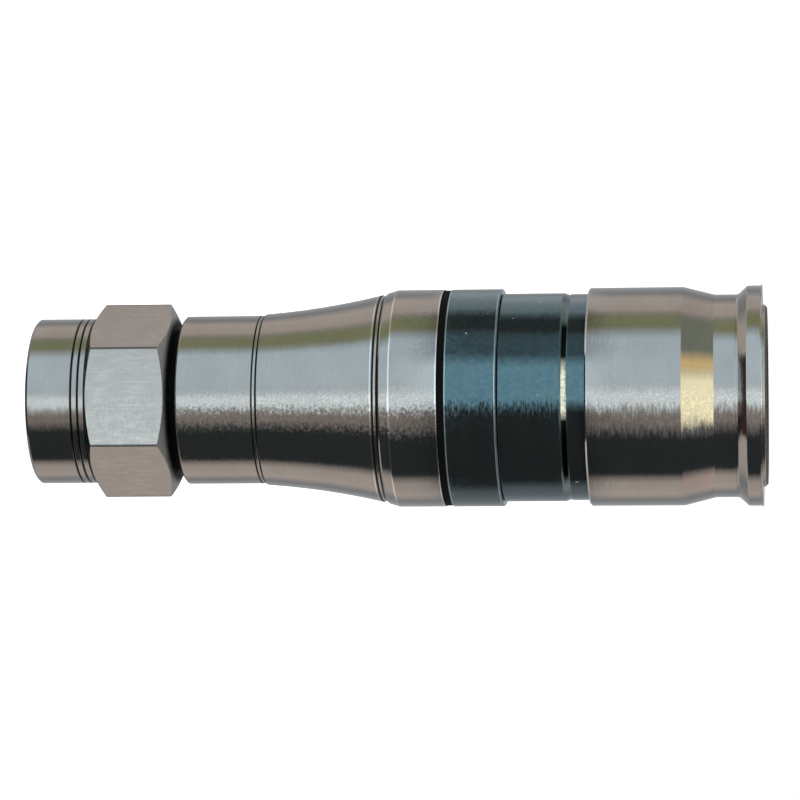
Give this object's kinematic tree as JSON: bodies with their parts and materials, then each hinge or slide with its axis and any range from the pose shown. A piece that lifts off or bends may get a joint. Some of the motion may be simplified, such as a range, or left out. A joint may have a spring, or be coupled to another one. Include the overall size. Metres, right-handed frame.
{
  "type": "coaxial F connector",
  "caption": "Round coaxial cable connector with a hex coupling nut, a silver body, a black ring and tube, and a silver compression sleeve that flares at the cable end.",
  "frame": {"origin": "on the connector's axis, in the plane of the coupling nut's front face", "axes": "+Z along the axis from the nut towards the cable end; two of the hex flats face -Y and +Y"},
  "size_m": [0.0146, 0.0146, 0.0483],
  "materials": {
    "plated_brass": "nickel plated, turned, satin",
    "contact_brass": "gold plated",
    "black_plastic": "black, glossy",
    "white_plastic": "white, matt",
    "black_rubber": "black, matt"
  },
  "bodies": {
    "body": {"front_body": "plated_brass", "nut_seal": "black_rubber", "post": "plated_brass", "front_insulator": "white_plastic", "contact_pin": "contact_brass", "pin_guide": "white_plastic", "body_seal": "black_rubber", "band_ring": "black_plastic", "rear_body": "black_plastic", "mandrel": "plated_brass", "sleeve_seal": "black_rubber"},
    "nut": {"coupling_nut": "plated_brass"},
    "sleeve": {"compression_sleeve": "plated_brass", "grip_ring": "plated_brass", "mouth_liner": "plated_brass", "jacket_seal": "black_rubber"}
  },
  "joints": [
    {"name": "nut_spin", "type": "hinge", "parent": "body", "child": "nut", "pos_m": [0, 0, 0], "axis": [0, 0, 1], "continuous": true},
    {"name": "sleeve_slide", "type": "slide", "parent": "body", "child": "sleeve", "axis": [0, 0, -1], "range_m": [0, 0.00555]}
  ]
}
